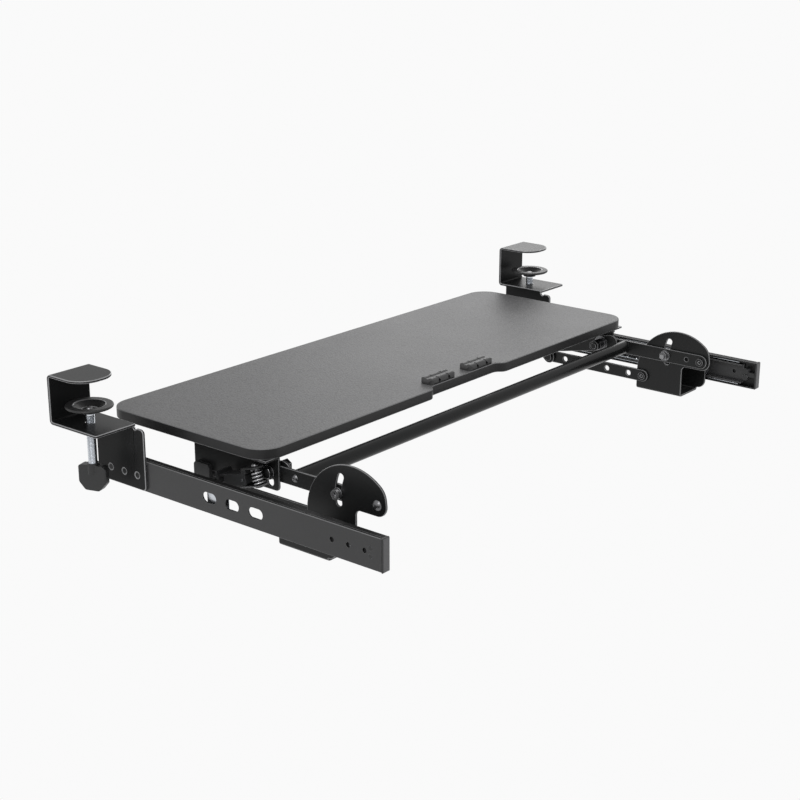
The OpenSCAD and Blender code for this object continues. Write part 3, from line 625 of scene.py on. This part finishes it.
class KEYBOARDTRAY_OT_slides(TrayOperator):
    """The three members of each slide, their ball retainers and end caps"""
    bl_idname = "keyboard_tray.slides"
    bl_label = "Slides"

    def execute(self, context):
        # The slide members carry painted light: a highlight on the rounds near top and bottom, and
        # shade on the flat faces and inside the outer member
        coat, edge, race_shade, shaded = range(4)
        flat, rounded, rearward = 0.8, 0.3, 0.7
        lip = 1.4 * MM  # how deep the light rounds reach at a member's top and bottom
        for side in SIDES:
            for part in ("slide_outer", "slide_middle", "slide_inner"):
                node = f"{part}_{side}"
                member = wear(dressed(node, sizes().rail_round), node, "slide_coat", "slide_edge")
                add_finishes(member, "slide_race_shade", "powder_coat")
                low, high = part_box(node)
                for face in member.data.polygons:
                    level = abs(face.normal.z)
                    depth = min(high.z - face.center.z, face.center.z - low.z)
                    inward = face.normal.x * face.center.x < 0
                    # Painted shade on the flat tops and undersides
                    if face.material_index == coat and level > flat:
                        face.material_index = race_shade
                    # Painted highlight on the rounds near top and bottom
                    elif level > rounded and depth < lip:
                        face.material_index = edge
                    # Painted shade: the outer member's inner faces take the darker powder coat
                    elif face.material_index == coat and inward and part == "slide_outer":
                        face.material_index = shaded
            for part in ("ball_cage_outer", "ball_cage_inner"):
                node = f"{part}_{side}"
                wear(dressed(node, 0.1 * MM, 1), node, "retainer_steel")
            for part in ("balls_outer", "balls_inner"):
                node = f"{part}_{side}"
                wear(smooth(dressed(node, 0), 60), node, "polished_steel")
            node = f"slide_end_cap_{side}"
            # The cap's rounded edges take a painted highlight
            cap = wear(dressed(node, 0.6 * MM, 3), node, "moulded_black", "cap_edge")
            # Painted sheen: the caps' rear faces take a lighter finish
            add_finishes(cap, "cap_sheen_finish")
            for face in cap.data.polygons:
                if face.normal.y > rearward:
                    face.material_index = len(cap.data.materials) - 1
        return {"FINISHED"}


class KEYBOARDTRAY_OT_mouldings(TrayOperator):
    """Plastic parts: pivot covers, release levers and clamp knobs, and the cable clips"""
    bl_idname = "keyboard_tray.mouldings"
    bl_label = "Mouldings"

    def execute(self, context):
        for side in SIDES:
            # The edge finishes paint a highlight on the rounded edges
            for part, width, finish, edge in (
                    ("pivot_cover", 0.8 * MM, "moulded_black", None),
                    ("release_lever", 0.4 * MM, "moulded_black", "moulded_edge"),
                    ("clamp_knob", 1.0 * MM, "moulded_black", "moulded_edge"),
                    ("cable_clip", 0.8 * MM, "silicone_black", None)):
                node = f"{part}_{side}"
                wear(dressed(node, width, 3), node, finish, edge)
        return {"FINISHED"}


class KEYBOARDTRAY_OT_fasteners(TrayOperator):
    """Bolts, nuts, washers, rivets and pins"""
    bl_idname = "keyboard_tray.fasteners"
    bl_label = "Fasteners"

    def execute(self, context):
        width = 0.3 * MM
        # Every fastener's rounded rims take a lighter finish: a painted highlight
        for node, finish in (("bracket_screws", "black_zinc"), ("tilt_pins", "black_zinc"),
                             ("tilt_bolts", "powder_coat"), ("tilt_nuts", "powder_coat"),
                             ("tilt_washers", "black_zinc"), ("spring_pins", "black_zinc"),
                             ("lock_bolts", "bolt_plating"), ("lock_nuts", "black_zinc"),
                             ("carriage_screws", "black_zinc"), ("tube_screws", "black_zinc")):
            wear(dressed(node, width), node, finish, "zinc_rim_highlight")
        wear(dressed("slide_screws", width), "slide_screws", "powder_coat", "powder_edge")
        plated, _, painted = range(3)
        for node in ("arm_pivot_rivets", "lower_pivot_rivets", "hanger_rivets"):
            rivets = wear(dressed(node, width), node, "black_zinc", "zinc_rim_highlight")
            add_finishes(rivets, "powder_coat")
            for face in rivets.data.polygons:
                if face.material_index == plated and face.normal.x * face.center.x < 0:
                    face.material_index = painted
        return {"FINISHED"}


class KEYBOARDTRAY_OT_clamp_screws(TrayOperator):
    """The threaded clamp screws with their riveted tips"""
    bl_idname = "keyboard_tray.clamp_screws"
    bl_label = "Clamp screws"

    def execute(self, context):
        low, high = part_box("clamp_screw_right")
        centre = (low + high) / 2
        radius = (high.x - low.x) / 2
        pitch = sizes().thread_pitch
        depth = 0.6 * pitch
        ridge = pitch * 0.56  # half as wide as one turn of the thread
        tip_length, head_length = 6.4 * MM, 1.8 * MM
        top = high.z - tip_length
        turns = int((top - low.z) / pitch) - 2
        steps_per_turn = 28
        bpy.ops.mesh.primitive_circle_add(vertices=6, radius=ridge, fill_type="NOTHING",
                                          rotation=(math.pi / 2, 0, 0))
        # A flattened hexagon, wound up the shank
        thread = settle(named("clamp_screw_thread"))
        for vertex in thread.data.vertices:
            vertex.co.x = radius - depth * 0.5 + vertex.co.x * 0.5 * depth / ridge
            vertex.co.z = vertex.co.z * 0.86 + low.z + pitch
        modify(thread, "SCREW", axis="Z", angle=math.tau * turns, screw_offset=pitch * turns,
               steps=steps_per_turn * turns, render_steps=steps_per_turn * turns,
               use_merge_vertices=False)
        edit(thread, lambda: bpy.ops.mesh.normals_make_consistent(inside=False))
        bpy.ops.mesh.primitive_cylinder_add(
            vertices=ROUND_SIDES, radius=radius - depth * 0.55, depth=top - low.z,
            location=(0, 0, (top + low.z) / 2))
        core = settle(named("clamp_screw_core"))
        modify(core, "BEVEL", width=0.5 * MM, segments=2, limit_method="ANGLE")
        # The plain tip, and the head that is riveted over inside the pad
        tip_parts = []
        for radius_low, radius_high, base, tall in (
                (3 * MM, 3 * MM, top - 0.5 * MM, 5.4 * MM),
                (4.5 * MM, 3.6 * MM, high.z - head_length, head_length)):
            bpy.ops.mesh.primitive_cone_add(
                vertices=ROUND_SIDES, radius1=radius_low, radius2=radius_high,
                depth=tall, location=(0, 0, base + tall / 2))
            tip_parts.append(settle(named("clamp_screw_tip")))
        only(core, thread, *tip_parts)
        bpy.ops.object.join()
        right = smooth(place(core, Matrix.Translation((centre.x, centre.y, 0))), 40)
        right.name = "clamp_screw_right_threaded"
        left = mirrored_copy(right, "clamp_screw_left_threaded")
        for piece, side in zip((right, left), SIDES):
            wear(piece, f"clamp_screw_{side}", "zinc_thread")
            # Painted shade: the riveted head, down in the pad's dish, takes the dark black zinc finish
            add_finishes(piece, "black_zinc")
            for face in piece.data.polygons:
                face.material_index = int(face.center.z > high.z - 2 * MM)
        return {"FINISHED"}


class KEYBOARDTRAY_OT_springs(TrayOperator):
    """The release levers' coil springs"""
    bl_idname = "keyboard_tray.springs"
    bl_label = "Springs"

    def execute(self, context):
        wire_radius, coil_radius, pitch = 1.15 * MM, 5.7 * MM, 3.75 * MM
        turns, steps_per_turn = 4, 40
        lean = math.radians(15)
        low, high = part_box("lever_spring_right")
        middle = (low + high) / 2
        length = pitch * turns
        bpy.ops.mesh.primitive_circle_add(vertices=16, radius=wire_radius, fill_type="NOTHING",
                                          rotation=(math.pi / 2, 0, 0))
        spring = settle(named("lever_spring_right_wound"))
        place(spring, Matrix.Translation((coil_radius, 0, -length / 2)))
        modify(spring, "SCREW", axis="Z", angle=math.tau * turns, screw_offset=length,
               steps=steps_per_turn * turns, render_steps=steps_per_turn * turns,
               use_merge_vertices=False)

        def close_ends():
            """Fills the two open ends of the wire."""
            bpy.ops.mesh.select_all(action="DESELECT")
            bpy.ops.mesh.select_mode(type="EDGE")
            bpy.ops.mesh.select_non_manifold()
            bpy.ops.mesh.fill_holes(sides=0)

        edit(spring, close_ends, lambda: bpy.ops.mesh.normals_make_consistent(inside=False))
        place(spring, Matrix.Translation(middle) @ Matrix.Rotation(lean, 4, "X"))
        smooth(spring, 50)
        twin = mirrored_copy(spring, "lever_spring_left_wound")
        for piece, side, sign in ((spring, "right", 1), (twin, "left", -1)):
            wear(piece, f"lever_spring_{side}", "spring_steel")
            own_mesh(piece)
        return {"FINISHED"}


def named_lamp(name, strength):
    """Names the lamp that an operator has just added, and sets its strength."""
    lamp = bpy.context.view_layer.objects.active
    lamp.name = name
    lamp.data.energy = strength
    return lamp


def seen_directly(tree):
    """1 for rays that show the backdrop itself: straight, mirrored or refracted."""
    rays = tree.nodes.new("ShaderNodeLightPath").outputs
    mirrored = math_node(tree, "MAXIMUM", rays["Is Camera Ray"], rays["Is Glossy Ray"])
    return math_node(tree, "MAXIMUM", mirrored, rays["Is Transmission Ray"])


def floor_material():
    """A matt floor that lights the object from below and looks evenly pale."""
    finish, tree, shader, _ = new_material("pale_floor")
    shader.inputs["Base Color"].default_value = (*colours().floor, 1)
    shader.inputs["Roughness"].default_value = 1.0
    shader.inputs["Specular IOR Level"].default_value = 0.0
    even = tree.nodes.new("ShaderNodeEmission")
    even.inputs["Color"].default_value = (*colours().backdrop, 1)
    mix = tree.nodes.new("ShaderNodeMixShader")
    tree.links.new(seen_directly(tree), mix.inputs["Fac"])
    tree.links.new(shader.outputs["BSDF"], mix.inputs[1])
    tree.links.new(even.outputs["Emission"], mix.inputs[2])
    tree.links.new(mix.outputs["Shader"], tree.nodes["Material Output"].inputs["Surface"])
    return finish


def surround_world(strength):
    """An even white surround that shows the backdrop's tone."""
    world = bpy.data.worlds.new("surround")
    world.use_nodes = True
    tree = world.node_tree
    even = tree.nodes["Background"]
    even.inputs["Color"].default_value = (1, 1, 1, 1)
    even.inputs["Strength"].default_value = strength
    shown = tree.nodes.new("ShaderNodeBackground")
    shown.inputs["Color"].default_value = (*colours().backdrop, 1)
    mix = tree.nodes.new("ShaderNodeMixShader")
    tree.links.new(seen_directly(tree), mix.inputs["Fac"])
    tree.links.new(even.outputs["Background"], mix.inputs[1])
    tree.links.new(shown.outputs["Background"], mix.inputs[2])
    tree.links.new(mix.outputs["Shader"], tree.nodes["World Output"].inputs["Surface"])
    return world


class KEYBOARDTRAY_OT_stage(TrayOperator):
    """Plain pale floor, soft light and the camera"""
    bl_idname = "keyboard_tray.stage"
    bl_label = "Stage"

    def execute(self, context):
        scene = context.scene
        stage = scene.tray_stage
        scene.view_settings.view_transform = "Standard"
        floor_side = 60
        bpy.ops.mesh.primitive_plane_add(size=floor_side, location=(0, 0, -stage.floor_drop))
        floor = settle(named("floor"))
        floor.data.materials.append(floor_material())
        scene.world = surround_world(stage.sky)
        for name, strength, spread, lean, heading in (("key_sun", 1.0, 24, 52, 112),
                                                      ("top_sun", 0.45, 30, 14, 150)):
            turn = (math.radians(lean), 0, math.radians(heading))
            bpy.ops.object.light_add(type="SUN", rotation=turn)
            named_lamp(name, strength).data.angle = math.radians(spread)
        aim = Vector((-0.15, 0.1, -0.055))  # on the board, left of its middle
        bpy.ops.object.light_add(type="AREA", location=stage.sheen_place)
        lamp = named_lamp("sheen_box", stage.sheen_power)
        lamp.rotation_euler = (aim - lamp.location).to_track_quat("-Z", "Y").to_euler()
        lamp.data.shape = "RECTANGLE"
        lamp.data.size, lamp.data.size_y = stage.sheen_size
        bpy.ops.object.camera_add(location=stage.camera_place, rotation=stage.camera_turn)
        camera = bpy.context.view_layer.objects.active
        camera.name = "photo_camera"
        camera.data.lens = stage.lens
        camera.data.sensor_width = 36
        camera.data.clip_start = 0.05
        camera.data.clip_end = 100
        scene.camera = camera
        return {"FINISHED"}


STEPS = (KEYBOARDTRAY_OT_finishes, KEYBOARDTRAY_OT_board, KEYBOARDTRAY_OT_steelwork,
         KEYBOARDTRAY_OT_slides, KEYBOARDTRAY_OT_mouldings, KEYBOARDTRAY_OT_fasteners,
         KEYBOARDTRAY_OT_clamp_screws, KEYBOARDTRAY_OT_springs, KEYBOARDTRAY_OT_stage)


class KEYBOARDTRAY_PT_panel(bpy.types.Panel):
    """Lists the steps and the settings"""
    bl_idname = "KEYBOARDTRAY_PT_panel"
    bl_label = "Keyboard tray"
    bl_space_type = "VIEW_3D"
    bl_region_type = "UI"
    bl_category = "Keyboard tray"

    def draw(self, context):
        layout = self.layout
        for step in STEPS:
            layout.operator(step.bl_idname)
        scene = context.scene
        for settings in (scene.tray_sizes, scene.tray_colours, scene.tray_stage):
            box = layout.box()
            for name in settings.__annotations__:
                box.prop(settings, name)


SETTINGS = (("tray_sizes", TraySizes), ("tray_colours", TrayColours), ("tray_stage", TrayStage))


def register():
    for name, kind in SETTINGS:
        bpy.utils.register_class(kind)
        setattr(bpy.types.Scene, name, bpy.props.PointerProperty(type=kind))
    for step in STEPS:
        bpy.utils.register_class(step)
    bpy.utils.register_class(KEYBOARDTRAY_PT_panel)


def unregister():
    bpy.utils.unregister_class(KEYBOARDTRAY_PT_panel)
    for step in reversed(STEPS):
        bpy.utils.unregister_class(step)
    for name, kind in reversed(SETTINGS):
        delattr(bpy.types.Scene, name)
        bpy.utils.unregister_class(kind)


def main():
    register()
    for step in STEPS:
        area, name = step.bl_idname.split(".")
        getattr(getattr(bpy.ops, area), name)()


if __name__ == "__main__":
    main()
